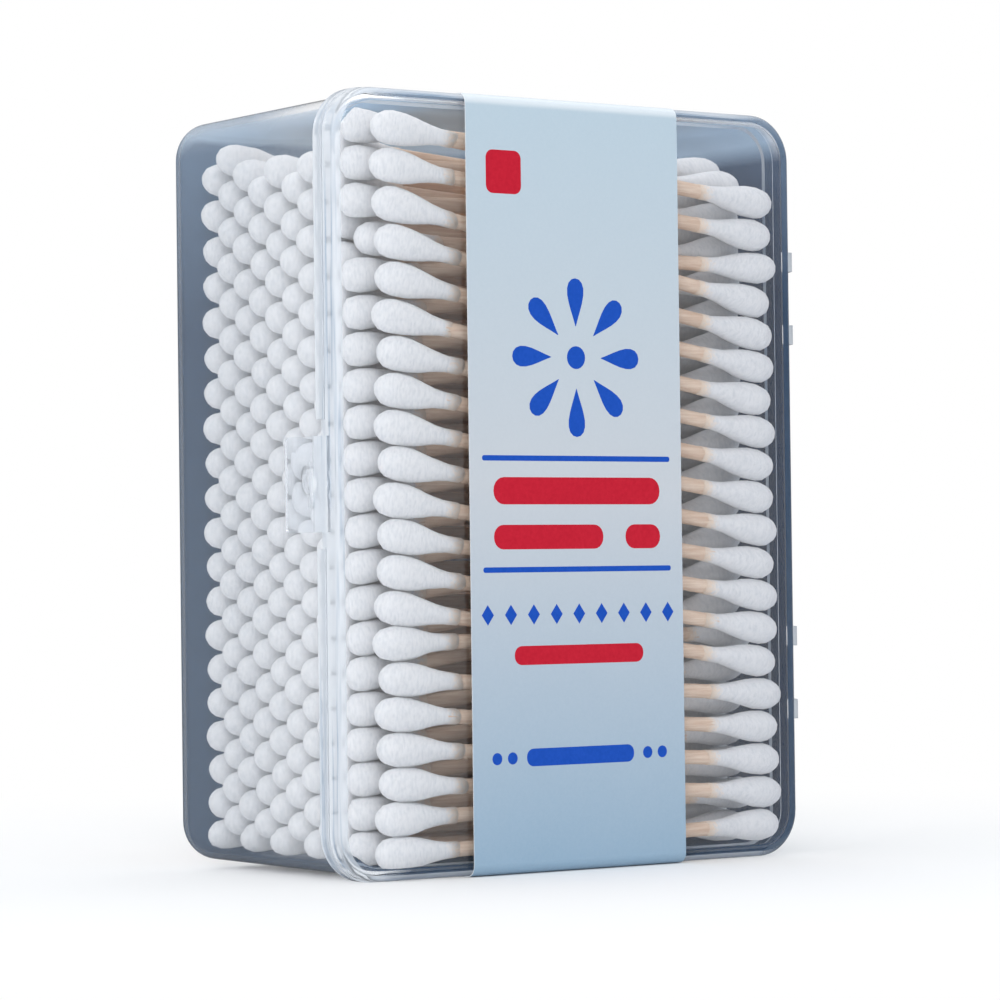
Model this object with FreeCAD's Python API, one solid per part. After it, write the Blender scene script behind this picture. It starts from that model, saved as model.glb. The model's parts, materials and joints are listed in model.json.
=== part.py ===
"""Clear hinged box of cotton swabs, standing on one of its short sides.

The lid faces the viewer (-Y), the tray lies behind it (+Y), and the swabs lie along X in layers.
While it is built, x = 0 and z = 0 are the middle of the lid and y = 0 is the lid's front face.
Every piece is moved at the end, so that the origin is under the middle of the whole box.
"""
import FreeCAD
import Part
import math
import os

V = FreeCAD.Vector
TOUCH = 1e-6                # how near an edge lies to the plane that it is on

# Swab: a wooden stick with a cotton head wound on each end
SWAB_LENGTH = 75.0
STICK_RADIUS = 1.1
HEAD_LENGTH = 14.3
HEAD_RADIUS = 2.42
HEAD_NOSE = 3.2             # from the tip to the widest place
HEAD_WAIST_AT = 10.3        # from the tip to where the taper turns straight
HEAD_WAIST_RADIUS = 1.55
HEAD_END_COTTON = 0.08      # thickness of the last wrap on the stick
COTTON_OVER_STICK = 1.9     # cotton beyond the stick's end
STICK_FIT = 0.05            # radial gap between stick and wound cotton

# Pile of swabs, in layers one behind the other, counted from the lid
ROWS_IN_LAYER = (21, 21, 20, 20, 19, 20, 19, 20, 20, 20)
STEEP_FROM = 6              # rows between these two lean the most in the first two layers
STEEP_TO = 17
STEEP_LIFT = 0.3            # above them the first layer's right heads lie this much higher
LEFT_ROW_GAP = 0.14         # least gap between heads, one above the other, left
LEFT_ROW_GROWTH = 0.0137    # how much each further row is looser, left
RIGHT_ROW_GAP = 0.12
FRONT_RIGHT_ROW_GAP = 0.2
FRONT_LAYER_GAP = 0.1       # between the first two layers, which lie side by side
LAYER_GAP = 0.17            # between the other layers, which nest in each other
PILE_GAP = 0.05             # between heads and the lid
FLOOR_GAP = 0.1             # between heads and the tray's lower wall
BACK_GAP = 0.3              # between heads and the tray's back
FRONT_RIGHT_LIFT = 1.0      # the first layer's right heads lie this much higher
FRONT_END_UNEVENNESS = 0.45 # how far the swabs' ends are out of line, first layer
END_UNEVENNESS = 0.2        # the same in the other layers
END_SLIDE = 0.5             # the other layers lie this far towards the hinges
CHANGE_SLIDE = 2.7          # and so far a swab that changes over from the first layer
FRONT_ROW_WAVE = 2.4        # radians from one swab's end to the next, first layer
ROW_WAVE = 2.1              # the same in the other layers
LAYER_WAVE = 1.7            # and from layer to layer
END_PLAY = 7.6              # free length of the lid beyond a swab's length
HEADROOM = 0.42             # above the topmost head in the tray

# Lid
LID_WALL = 1.2
LID_DEPTH = 3.5
LID_CORNER = 7.0
LID_EDGE = 1.5              # rounding of the front edge
LID_INNER_EDGE = 0.8

# Tray
TRAY_WALL = 1.1
TRAY_BACK_WALL = 1.2
TRAY_STEP = 0.7             # the tray's wall lies this far inside the lid's outline
TRAY_DRAFT_DEG = 0.6
TRAY_EDGE = 3.0             # rounding of the back edge
TRAY_INNER_EDGE = 1.8
SEAM = 0.1                  # between the lid and the tray's rim
RIM_DEPTH = 2.0
RIM_PROUD = 0.2             # the rim stands out beyond the lid
RIM_LEDGE = 0.2             # thickness of the rim behind its wider mouth

# Clasp in the middle of the left side
CLASP_WIDTH = 13.8
CLASP_START = 2.3
CLASP_REACH = 9.8           # from the lid's edge to the clasp's end
CLASP_PROUD = 0.5
CLASP_THICKNESS = 0.85
CLASP_CORNER = 0.6
CLASP_NOTCH_SIDE = 2.4      # the rim is open this far on each side of the clasp
CATCH_WIDTH = 6.4
CATCH_THICKNESS = 0.6
CATCH_SPACE = 1.0           # from the rim to the catch
CATCH_GAP = 0.06
HOOK_HEIGHT = 0.2
BUTTON_RADIUS = 1.7
BUTTON_HEIGHT = 0.4

# Hinges on the right side
HINGE_COUNT = 2
HINGE_SPACING = 58.0
HINGE_OUT = 1.4             # the axis lies this far beyond the lid's side
HINGE_BEHIND_SEAM = 1.6     # and this far behind the seam
HINGE_EYE = 1.0             # radius of the lugs and ears
HINGE_LUG_WIDTH = 8.0
HINGE_EAR_WIDTH = 3.0
HINGE_SIDE_GAP = 0.15
HINGE_PIN_RADIUS = 0.5
HINGE_PIN_LENGTH = 1.6
HINGE_PIN_FIT = 0.05
HINGE_EAR_FRONT = 1.2       # from the lid's front to the ear's foot
HINGE_EAR_CLEAR = 0.2       # between the ear and the tray's rim
HINGE_ROOT = 0.4            # how deep an ear or lug is rooted in its wall

# Paper label glued round the lid
LABEL_WIDTH = 39.5
LABEL_THICKNESS = 0.11
LABEL_GLUE = 0.03
LABEL_SHORT = 0.2           # the label ends this far before the lid's edge

# Sizes that follow from the pile
row_steps = max(ROWS_IN_LAYER) - 1
left_row = 2 * HEAD_RADIUS + LEFT_ROW_GAP
right_row = 2 * HEAD_RADIUS + RIGHT_ROW_GAP
front_right_row = 2 * HEAD_RADIUS + FRONT_RIGHT_ROW_GAP
nested_step = math.sqrt((2 * HEAD_RADIUS) ** 2 - (right_row / 2) ** 2) + LAYER_GAP
pile_height = 2 * HEAD_RADIUS + row_steps * (left_row + LEFT_ROW_GROWTH * row_steps)
lid_width = SWAB_LENGTH + END_PLAY + 2 * LID_WALL
front_layer_y = LID_WALL + PILE_GAP + HEAD_RADIUS
second_layer_y = front_layer_y + 2 * HEAD_RADIUS + FRONT_LAYER_GAP
last_layer_y = second_layer_y + (len(ROWS_IN_LAYER) - 2) * nested_step
box_depth = last_layer_y + HEAD_RADIUS + BACK_GAP + TRAY_BACK_WALL
rim_front = LID_DEPTH + SEAM
rim_back = rim_front + RIM_DEPTH
clasp_end = LID_DEPTH + CLASP_REACH
clasp_inside = CLASP_THICKNESS - CLASP_PROUD
hinge_x = lid_width / 2 + HINGE_OUT
hinge_y = rim_front + HINGE_BEHIND_SEAM
label_proud = LABEL_GLUE + LABEL_THICKNESS
draft = math.tan(math.radians(TRAY_DRAFT_DEG))
top_inset = TRAY_STEP + TRAY_WALL + (second_layer_y - rim_back) * draft
lid_height = pile_height + FLOOR_GAP + HEADROOM + 2 * top_inset


def rounded_outline(inset, corner, y):
    """Wire of the box's outline at depth y, inset from the lid's outer side."""
    x = lid_width / 2 - inset
    z = lid_height / 2 - inset
    r = corner
    c = r * math.sqrt(0.5)
    edges = []
    for sx, sz in ((1, 1), (-1, 1), (-1, -1), (1, -1)):
        cx, cz = sx * (x - r), sz * (z - r)
        side = V(sx * x, y, cz)
        end = V(cx, y, sz * z)
        middle = V(cx + sx * c, y, cz + sz * c)
        start, stop = (side, end) if sx * sz > 0 else (end, side)
        if edges:
            edges.append(Part.LineSegment(edges[-1].EndPoint, start))
        edges.append(Part.Arc(start, middle, stop))
    edges.append(Part.LineSegment(edges[-1].EndPoint, edges[0].StartPoint))
    return Part.Wire([edge.toShape() for edge in edges])


def outline_block(inset, y0, y1, corner=None):
    """Straight block of the box's outline between two depths."""
    radius = LID_CORNER - inset if corner is None else corner
    face = Part.Face(rounded_outline(inset, radius, y0))
    return face.extrude(V(0, y1 - y0, 0))


def drafted_block(inset, y0, y1):
    """Block of the box's outline that narrows towards the tray's back by the draft."""
    wires = []
    for y in (y0, y1):
        here = inset + (y - rim_back) * draft
        wires.append(rounded_outline(here, LID_CORNER - here, y))
    return Part.makeLoft(wires, True, True)


def round_edges_at(shape, y, radius):
    """Rounds every edge that lies at depth y."""
    edges = [e for e in shape.Edges if all(abs(v.Y - y) < TOUCH for v in e.Vertexes)]
    return shape.makeFillet(radius, edges)


def block(x0, x1, y0, y1, z0, z1):
    """Upright block between two opposite corners."""
    return Part.makeBox(x1 - x0, y1 - y0, z1 - z0, V(x0, y0, z0))


def hinge_places():
    """Heights of the middles of the hinges."""
    first = -HINGE_SPACING * (HINGE_COUNT - 1) / 2
    return [first + HINGE_SPACING * i for i in range(HINGE_COUNT)]


def make_hinge_lug(z):
    """Lug on the tray's rim with the eye that two stub pins snap into."""
    z0 = z - HINGE_LUG_WIDTH / 2
    eye = Part.makeCylinder(HINGE_EYE, HINGE_LUG_WIDTH, V(hinge_x, hinge_y, z0))
    foot_root = lid_width / 2 - HINGE_ROOT
    foot = block(foot_root, hinge_x, hinge_y - HINGE_EYE / 2, rim_back, z0, z0 + HINGE_LUG_WIDTH)
    bore_radius = HINGE_PIN_RADIUS + HINGE_PIN_FIT
    bore = Part.makeCylinder(bore_radius, HINGE_LUG_WIDTH, V(hinge_x, hinge_y, z0))
    return eye.fuse(foot).cut(bore)


def make_hinge_ear(z, side):
    """Ear on the lid beside a lug, with its stub pin pointing into the lug."""
    inner_end = z + side * (HINGE_LUG_WIDTH / 2 + HINGE_SIDE_GAP)
    z0 = min(inner_end, inner_end + side * HINGE_EAR_WIDTH)
    skin = lid_width / 2
    past_rim = skin + RIM_PROUD + HINGE_EAR_CLEAR
    corners = [
        V(skin - HINGE_ROOT, HINGE_EAR_FRONT, z0),
        V(skin + HINGE_EYE, HINGE_EAR_FRONT, z0),
        V(hinge_x + HINGE_EYE, hinge_y - HINGE_EYE / 2, z0),
        V(hinge_x + HINGE_EYE, hinge_y, z0),
        V(past_rim, hinge_y, z0),
        V(past_rim, LID_DEPTH, z0),
        V(skin - HINGE_ROOT, LID_DEPTH, z0),
    ]
    arm = Part.Face(Part.makePolygon(corners + corners[:1])).extrude(V(0, 0, HINGE_EAR_WIDTH))
    eye = Part.makeCylinder(HINGE_EYE, HINGE_EAR_WIDTH, V(hinge_x, hinge_y, z0))
    reach = HINGE_SIDE_GAP + HINGE_PIN_LENGTH
    pin_start = inner_end if side < 0 else inner_end - reach
    pin = Part.makeCylinder(HINGE_PIN_RADIUS, reach, V(hinge_x, hinge_y, pin_start))
    return arm.fuse([eye, pin])


def make_tray():
    """Deep tray with its stepped rim, hinge lugs and the catch for the clasp."""
    left = -lid_width / 2
    rim = outline_block(-RIM_PROUD, rim_front, rim_back)
    body = round_edges_at(drafted_block(TRAY_STEP, rim_back, box_depth), box_depth, TRAY_EDGE)
    inner_floor = box_depth - TRAY_BACK_WALL
    cavity = drafted_block(TRAY_STEP + TRAY_WALL, rim_front, inner_floor)
    cavity = round_edges_at(cavity, inner_floor, TRAY_INNER_EDGE)
    mouth = outline_block(LID_WALL, rim_front - RIM_DEPTH, rim_back - RIM_LEDGE)

    notch_half = CLASP_WIDTH / 2 + CLASP_NOTCH_SIDE
    notch = block(left - CLASP_PROUD, left + TRAY_STEP, rim_front, rim_back, -notch_half, notch_half)
    tray = rim.fuse(body).cut(notch)

    catch_y = rim_back + CATCH_SPACE
    catch_top = left + clasp_inside + CATCH_GAP
    catch_root = left + TRAY_STEP + TRAY_WALL / 2
    half = CATCH_WIDTH / 2
    catch = block(catch_top, catch_root, catch_y, catch_y + CATCH_THICKNESS, -half, half)
    lugs = [make_hinge_lug(z) for z in hinge_places()]
    return tray.fuse([catch] + lugs).cut([cavity, mouth]).removeSplitter()


def make_clasp():
    """Springy tab of the lid that hooks behind the tray's catch."""
    left = -lid_width / 2
    outer = left - CLASP_PROUD
    half = CLASP_WIDTH / 2
    tab = block(outer, left + clasp_inside, CLASP_START, clasp_end, -half, half)
    corners = [e for e in tab.Edges if all(abs(v.Y - clasp_end) < TOUCH for v in e.Vertexes)
               and abs(e.Vertexes[0].Z - e.Vertexes[1].Z) < TOUCH]
    tab = tab.makeFillet(CLASP_CORNER, corners)
    hook_y = rim_back + CATCH_SPACE + CATCH_THICKNESS + CATCH_GAP
    hook_x = left + clasp_inside
    hook_half = CATCH_WIDTH / 2
    hook = block(hook_x - CLASP_THICKNESS / 2, hook_x + HOOK_HEIGHT,
                 hook_y, hook_y + CATCH_THICKNESS, -hook_half, hook_half)
    ball = (BUTTON_RADIUS ** 2 + BUTTON_HEIGHT ** 2) / (2 * BUTTON_HEIGHT)
    button_y = hook_y - CATCH_THICKNESS
    button = Part.makeSphere(ball, V(outer + ball - BUTTON_HEIGHT, button_y, 0))
    limits = block(outer - BUTTON_HEIGHT, outer + CLASP_THICKNESS / 2,
                   button_y - BUTTON_RADIUS, button_y + BUTTON_RADIUS, -BUTTON_RADIUS, BUTTON_RADIUS)
    button = button.common(limits)
    return tab.fuse([hook, button])


def make_lid():
    """Shallow lid with its clasp and hinge ears."""
    shell = round_edges_at(outline_block(0, 0, LID_DEPTH), 0, LID_EDGE)
    hollow = outline_block(LID_WALL, LID_WALL, LID_DEPTH + SEAM)
    hollow = round_edges_at(hollow, LID_WALL, LID_INNER_EDGE)
    ears = [make_hinge_ear(z, side) for z in hinge_places() for side in (-1, 1)]
    return shell.fuse([make_clasp()] + ears).cut(hollow).removeSplitter()


def label_block(offset):
    """Block that follows the lid's front and its top and bottom edges at a distance."""
    depth = LID_DEPTH - LABEL_SHORT
    half = lid_height / 2 + offset
    body = block(-LABEL_WIDTH / 2, LABEL_WIDTH / 2, -offset, depth, -half, half)
    edges = [e for e in body.Edges if all(abs(v.Y + offset) < TOUCH for v in e.Vertexes)
             and abs(e.Vertexes[0].X - e.Vertexes[1].X) > LABEL_WIDTH / 2]
    return body.makeFillet(LID_EDGE + offset, edges)


def make_label():
    """Paper strip down the middle of the lid, folded over its top and bottom edges."""
    return label_block(label_proud).cut(label_block(LABEL_GLUE))


def make_stick():
    """Wooden stick along +X, with its left end where the cotton starts to cover it."""
    length = SWAB_LENGTH - 2 * COTTON_OVER_STICK
    return Part.makeCylinder(STICK_RADIUS, length, V(COTTON_OVER_STICK, 0, 0), V(1, 0, 0))


def make_cotton_head():
    """Wound cotton head along +X with its tip at the origin and a bore for the stick."""
    bore = STICK_RADIUS + STICK_FIT
    end = STICK_RADIUS + STICK_FIT + HEAD_END_COTTON
    floor = COTTON_OVER_STICK - STICK_FIT
    diagonal = math.sqrt(0.5)
    nose = Part.Ellipse(V(0, 0, 0), HEAD_NOSE, HEAD_RADIUS)
    nose.Center = V(HEAD_NOSE, 0, 0)
    nose_arc = Part.ArcOfEllipse(nose, math.pi / 2, math.pi)
    bulge_at = HEAD_NOSE + (HEAD_WAIST_AT - HEAD_NOSE) * diagonal
    bulge_radius = HEAD_RADIUS - (HEAD_RADIUS - HEAD_WAIST_RADIUS) / 2
    points = [
        V(HEAD_NOSE, HEAD_RADIUS, 0),
        V(bulge_at, bulge_radius, 0),
        V(HEAD_WAIST_AT, HEAD_WAIST_RADIUS, 0),
        V(HEAD_LENGTH, end, 0),
        V(HEAD_LENGTH, bore, 0),
        V(floor, bore, 0),
        V(floor, 0, 0),
        V(0, 0, 0),
    ]
    edges = [nose_arc.toShape(), Part.Arc(*points[:3]).toShape()]
    edges += [Part.LineSegment(a, b).toShape() for a, b in zip(points[2:], points[3:])]
    profile = Part.Face(Part.Wire(Part.__sortEdges__(edges)))
    return profile.revolve(V(0, 0, 0), V(1, 0, 0), 360)


def layer_depth(layer):
    """Depth of a layer's axis behind the lid's front."""
    if layer == 0:
        return front_layer_y
    return second_layer_y + (layer - 1) * nested_step


def first_row(layer):
    """Height of a layer's lowest left head, above the lid's lower side."""
    if layer == 0:
        return LID_WALL + PILE_GAP + HEAD_RADIUS
    wall_inset = TRAY_STEP + TRAY_WALL + (layer_depth(layer) - rim_back) * draft
    return wall_inset + FLOOR_GAP + HEAD_RADIUS


def head_place(layer, row, end):
    """Depth and height of a head's axis; end is -1 for left and 1 for right."""
    step = row + (0.5 if layer > 0 and layer % 2 == 0 else 0)
    if end < 0:
        height = first_row(layer) + step * (left_row + LEFT_ROW_GROWTH * step)
    elif layer == 0:
        lift = FRONT_RIGHT_LIFT + (STEEP_LIFT if row >= STEEP_TO else 0)
        height = first_row(layer) + lift + step * front_right_row
    else:
        height = first_row(layer) + step * right_row
    return layer_depth(layer), height - lid_height / 2


def right_end(layer, row):
    """Layer and row of a swab's right head, from those of its left head.

    The first layer leans down to the right and the second one up, by one row or two.
    A few swabs change over between them, so that every place is taken once.
    """
    if row == 0 or layer > 1:
        return layer, row
    if layer == 0:
        if row in (1, STEEP_FROM):
            return 1, row
        return 0, row - (2 if STEEP_FROM < row <= STEEP_TO + 1 else 1)
    if row == row_steps:
        return 2, row
    if row == STEEP_TO:
        return 0, row
    return 1, row + (2 if STEEP_FROM - 1 <= row < STEEP_TO else 1)


def swab_slide(layer, right_layer, right_row_number):
    """How far a swab lies towards the hinges."""
    if right_layer == 0:
        wave = math.cos(FRONT_ROW_WAVE * right_row_number)
        return END_PLAY / 2 - 2 * PILE_GAP - FRONT_END_UNEVENNESS * (1 + wave)
    if layer == 0:
        return CHANGE_SLIDE
    return END_SLIDE + END_UNEVENNESS * math.cos(ROW_WAVE * right_row_number + LAYER_WAVE * layer)


def swab_frames(layer):
    """Left tip and direction of each swab in a layer."""
    half = SWAB_LENGTH / 2 - HEAD_NOSE
    frames = []
    for row in range(ROWS_IN_LAYER[layer]):
        end_layer, end_row = right_end(layer, row)
        slide = swab_slide(layer, end_layer, end_row)
        left = V(slide - half, *head_place(layer, row, -1))
        right = V(slide + half, *head_place(end_layer, end_row, 1))
        direction = (right - left).normalize()
        middle = (left + right) / 2
        frames.append((middle - direction * (SWAB_LENGTH / 2), direction))
    return frames


def placed(shape, base, direction):
    """Copy of a piece made along +X, with its start at base and along a direction."""
    copy = shape.copy()
    copy.Placement = FreeCAD.Placement(base, FreeCAD.Rotation(V(1, 0, 0), direction))
    return copy


def make_pieces():
    """All nodes by name, in the building frame."""
    pieces = {"tray": make_tray(), "lid": make_lid(), "label": make_label()}
    stick = make_stick()
    head = make_cotton_head()
    for layer in range(len(ROWS_IN_LAYER)):
        frames = swab_frames(layer)
        name = f"{layer + 1:02d}"
        pieces["sticks_" + name] = Part.makeCompound([placed(stick, tip, way) for tip, way in frames])
        pieces["cotton_left_" + name] = Part.makeCompound([placed(head, tip, way) for tip, way in frames])
        pieces["cotton_right_" + name] = Part.makeCompound(
            [placed(head, tip + way * SWAB_LENGTH, way * -1) for tip, way in frames])
    return pieces


def stand_offset():
    """Move that puts the origin under the middle of the whole box."""
    x_low = -lid_width / 2 - CLASP_PROUD - BUTTON_HEIGHT
    x_high = hinge_x + HINGE_EYE
    y_low = -label_proud
    z_low = -lid_height / 2 - RIM_PROUD
    return V(-(x_low + x_high) / 2, -(y_low + box_depth) / 2, -z_low)


def main():
    os.makedirs("parts", exist_ok=True)
    offset = stand_offset()
    for name, shape in make_pieces().items():
        shape.translate(offset)
        shape.exportStep(f"parts/{name}.step")
    print("lid", round(lid_width, 2), "x", round(lid_height, 2), "depth", round(box_depth, 2))
    print("offset", [round(v, 4) for v in offset])
    print("hinge axis", round(hinge_x + offset.x, 4), round(hinge_y + offset.y, 4))


main()
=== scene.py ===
"""Looks of a clear hinged box of cotton swabs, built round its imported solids."""

import json
import math

import bmesh
import bpy
from mathutils import Matrix, Vector

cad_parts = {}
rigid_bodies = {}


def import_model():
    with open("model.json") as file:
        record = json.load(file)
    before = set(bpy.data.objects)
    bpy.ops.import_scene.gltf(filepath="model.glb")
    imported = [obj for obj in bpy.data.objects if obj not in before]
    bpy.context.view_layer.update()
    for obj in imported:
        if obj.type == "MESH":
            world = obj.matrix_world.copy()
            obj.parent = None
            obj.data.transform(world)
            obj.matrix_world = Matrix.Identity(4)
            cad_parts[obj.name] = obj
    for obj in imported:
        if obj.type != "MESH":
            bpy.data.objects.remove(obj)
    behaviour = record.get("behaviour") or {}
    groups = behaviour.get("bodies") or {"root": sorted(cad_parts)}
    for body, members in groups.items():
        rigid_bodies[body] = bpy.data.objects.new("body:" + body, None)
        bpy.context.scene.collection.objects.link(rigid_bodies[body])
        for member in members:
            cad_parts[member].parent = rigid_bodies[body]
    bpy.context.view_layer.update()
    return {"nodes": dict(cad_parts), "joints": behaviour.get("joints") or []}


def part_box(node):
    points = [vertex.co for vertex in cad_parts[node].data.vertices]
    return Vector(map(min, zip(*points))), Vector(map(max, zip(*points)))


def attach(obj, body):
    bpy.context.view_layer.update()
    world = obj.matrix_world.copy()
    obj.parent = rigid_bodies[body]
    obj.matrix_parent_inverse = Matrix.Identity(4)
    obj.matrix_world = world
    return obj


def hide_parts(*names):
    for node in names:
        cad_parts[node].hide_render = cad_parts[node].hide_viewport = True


bl_info = {
    "name": "Cotton Swab Box",
    "version": (1, 0, 0),
    "blender": (4, 5, 0),
    "location": "View3D > Sidebar > Swab Box",
    "description": "Clear box, paper label, wooden sticks and wound cotton heads",
    "category": "Object",
}

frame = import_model()
NODES = frame["nodes"]
TRAY_BODY = next(j["parent"] for j in frame["joints"] if j["name"] == "lid_hinge")
LID_BODY = next(j["child"] for j in frame["joints"] if j["name"] == "lid_hinge")
STICK_NODES = sorted(n for n in NODES if n.startswith("sticks_"))
COTTON_NODES = sorted(n for n in NODES if n.startswith("cotton_"))
LABEL_LOW, LABEL_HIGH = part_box("label")
TRAY_LOW, TRAY_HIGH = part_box("tray")
MM = 0.001
RIM_BACK = TRAY_LOW.y + 2.1 * MM        # just behind the rim's step
RIM_END = RIM_BACK + 0.4 * MM
PASSED_LIGHT = (0.982, 0.984, 0.988)    # what lamp light keeps when it passes a wall
PASSED_AT_HINGES = (0.66, 0.69, 0.73)   # the same in the wall at the hinges
SOFT_LIGHT = 0.72                       # strength of the world's light
MIRRORED_LIGHT = 0.12                   # strength of floor and world in reflections
SHADOW_NEAR, SHADOW_FAR = 0.06, 0.22    # the floor fades to white between these distances
NEARLY_SAME = 1e-6                      # vertices this near are one
NEARLY_FLAT = math.radians(0.2)         # faces this near to level are joined
SHARP = math.radians(32)                # edges from this angle on stay sharp
STICK_SIDES, STICK_SEED = 14, 5
HEAD_SIDES, HEAD_SEED = 11, 7
NOSE_TURNS = (20, 40, 62)               # degrees from the tip to the widest place
BODY_SHARES = (0.0, 0.2, 0.36, 0.5, 0.64, 0.8, 1.0)
NOISE_GAIN = 4.0                        # takes the noise's middle range to about 1
LAMP_TARGET = (0.0, 0.0, 0.06)
# Lamps: name, place, size and power
LAMPS = (("key", (-0.65, -0.9, 0.85), 0.6, 4.6),
         ("top", (0.15, 0.1, 0.9), 0.8, 2.6),
         ("side", (-1.1, -0.1, 0.25), 0.9, 2.7))
PRINT_SUNK = 0.002 * MM                 # how deep the print's back lies in the paper
FLOWER_AT, LOZENGES_AT, DOTS_AT = 76, 38, 17  # heights above the label's foot in mm
# Printed bars in mm: x, height above the label's foot, width, height and corner radius
BLUE_BARS = ((0, 61.0, 35, 0.8, 0.35), (0, 44.6, 35, 0.8, 0.35), (0, 17.0, 20, 2.6, 1.2))
RED_BARS = ((0, 56.2, 31, 4.0, 1.9), (-5.4, 49.4, 20.2, 3.6, 1.7), (12.2, 49.4, 6.6, 3.6, 1.7),
            (0, 32.0, 24, 2.8, 1.3), (-13.0, 103.0, 6.4, 6.4, 1.2))


def length(name, text, default):
    """Length property in metres."""
    return bpy.props.FloatProperty(name=name, description=text, default=default, min=0.0,
                                   subtype="DISTANCE", unit="LENGTH", precision=5)


def share(name, text, default):
    """Property between 0 and 1."""
    return bpy.props.FloatProperty(name=name, description=text, default=default, min=0.0, max=1.0,
                                   subtype="FACTOR")


def ratio(name, text, default):
    """Property about 1."""
    return bpy.props.FloatProperty(name=name, description=text, default=default, min=0.5, max=2.0)


def angle(name, text, degrees):
    """Angle property, given in degrees."""
    return bpy.props.FloatProperty(name=name, description=text, default=math.radians(degrees),
                                   subtype="ANGLE")


def colour(name, text, default):
    """Colour property, given as the screen shows it, from 0 to 255."""
    linear = [((v / 255 + 0.055) / 1.055) ** 2.4 if v > 10 else v / 255 / 12.92 for v in default]
    return bpy.props.FloatVectorProperty(name=name, description=text, default=linear, min=0.0, max=1.0,
                                         size=3, subtype="COLOR")


class SwabSettings(bpy.types.PropertyGroup):
    """Sizes and colours of the swabs."""

    cotton_over_stick: length("Cotton Over Stick", "Cotton beyond the end of the stick", 1.9 * MM)
    head_length: length("Head Length", "From the tip to the last wrap of cotton", 14.3 * MM)
    head_nose: length("Head Nose", "From the tip to the widest place", 3.2 * MM)
    head_radius: length("Head Radius", "Largest radius of a cotton head", 2.42 * MM)
    taper_from: length("Taper Start", "From the tip to where the taper starts", 4.0 * MM)
    taper_to: length("Taper End", "From the tip to where the taper ends", 12.9 * MM)
    end_radius: length("End Radius", "Radius of the last wrap on the stick", 1.17 * MM)
    stick_radius: length("Stick Radius", "Radius of the wooden stick", 1.1 * MM)
    lumps: length("Lumps", "How far the wound cotton swells in and out", 0.09 * MM)
    left_swell: ratio("Left Swell", "How much taller the left heads are, with more room", 1.07)
    right_swell: ratio("Right Swell", "How much taller the right heads are", 1.02)
    ragged_end: length("Ragged End", "How far the last wrap wanders along the stick", 0.7 * MM)
    cotton: colour("Cotton", "Cotton in full light", (235, 235, 236))
    cotton_shade: colour("Cotton Shade", "Cotton between the fibres", (218, 220, 223))
    wood_light: colour("Pale Wood", "Pale grain of the sticks", (247, 225, 204))
    wood_dark: colour("Dark Wood", "Dark grain of the sticks", (212, 176, 149))


class PlasticSettings(bpy.types.PropertyGroup):
    """Colours and finish of the clear plastic, with its painted shade and painted light."""

    tint: colour("Plastic Tint", "Colour of the clear plastic", (250, 252, 255))
    # Painted shade: the plastic is painted greyer towards the hinges
    hinge_side_painted_shade: colour("Hinge Side Tint", "The same towards the hinges", (240, 242, 246))
    # Painted shade: the far walls seen across the box are painted slate blue, paler towards the top and
    # darker over the wall at the hinges; the far ceiling colour is painted light from above
    painted_shade_top: colour("Far Wall Top", "Far walls seen through the box, at the top", (110, 132, 156))
    painted_shade_middle: colour("Far Wall Middle", "Far walls seen through the box, higher up", (59, 80, 106))
    painted_shade_bottom: colour("Far Wall Bottom", "Far walls seen through the box, low down", (62, 83, 107))
    ceiling_painted_light: colour("Far Ceiling", "Underside of the top wall, lit through", (172, 196, 218))
    painted_shade_across: colour("Far Side", "Shade over the wall at the hinges", (176, 184, 196))
    # Painted light: the pale veil stands for the reflection and refraction in the rim's steps, with fine
    # painted refraction lines; the rim and clasp shares say how much of it they show
    pale_painted_light: colour("Veil", "Pale veil that the steps of the rim gather", (216, 223, 231))
    painted_refraction_line: colour("Veil Lines", "Finer blue lines in the veil", (150, 172, 196))
    rim_painted_reflection: share("Rim Veil", "How much the rim's steps hide what is behind them", 0.62)
    clasp_painted_reflection: share("Clasp Veil", "The same for the clasp", 0.2)
    # Painted light: a thin pale veil on the wall at the clasp
    side_painted_light: share("Side Veil", "The same for the wall at the clasp", 0.1)
    # Painted shade: how much of the slate blue the far walls show
    painted_shade_strength: share("Far Wall Strength", "How much the far walls hide what is behind them", 0.97)
    # Painted shade: how much slate blue the far edges and foot show
    edge_painted_shade: share("Edge Strength", "How much of the same tint the far edges gather", 0.88)
    roughness: share("Roughness", "Roughness of the polished plastic", 0.04)
    ior: bpy.props.FloatProperty(name="Index", description="Refractive index", default=1.59, min=1.0)


class LabelSettings(bpy.types.PropertyGroup):
    """Colours and sizes of the paper label and its print."""

    top: colour("Label Top", "Printed tint at the top", (184, 205, 219))
    middle: colour("Label Middle", "Printed tint in the middle", (198, 205, 213))
    bottom: colour("Label Bottom", "Printed tint at the bottom", (146, 178, 203))
    paper: colour("Paper", "Bare paper at the cut edges", (238, 242, 246))
    blue: colour("Blue Ink", "Blue of the print", (0, 72, 176))
    red: colour("Red Ink", "Red of the print", (186, 6, 40))
    ink_height: length("Ink Height", "How far the print stands on the paper", 0.012 * MM)


class StageSettings(bpy.types.PropertyGroup):
    """Floor, light and camera."""

    floor_size: length("Floor Size", "Side of the floor", 6.0)
    floor: colour("Floor", "Colour of the floor", (244, 245, 246))
    camera_place: bpy.props.FloatVectorProperty(
        name="Camera", description="Place of the camera", size=3, subtype="TRANSLATION",
        default=(-0.35732, -0.48943, 0.04469))
    camera_heading: angle("Heading", "Clockwise from +Y, seen from above", 36.306)
    camera_pitch: angle("Pitch", "Above the horizon", 1.012)
    camera_roll: angle("Roll", "Turn about the view's own line", -0.713)
    lens: bpy.props.FloatProperty(name="Lens", description="For a 36 mm sensor", default=142.25)


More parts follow.
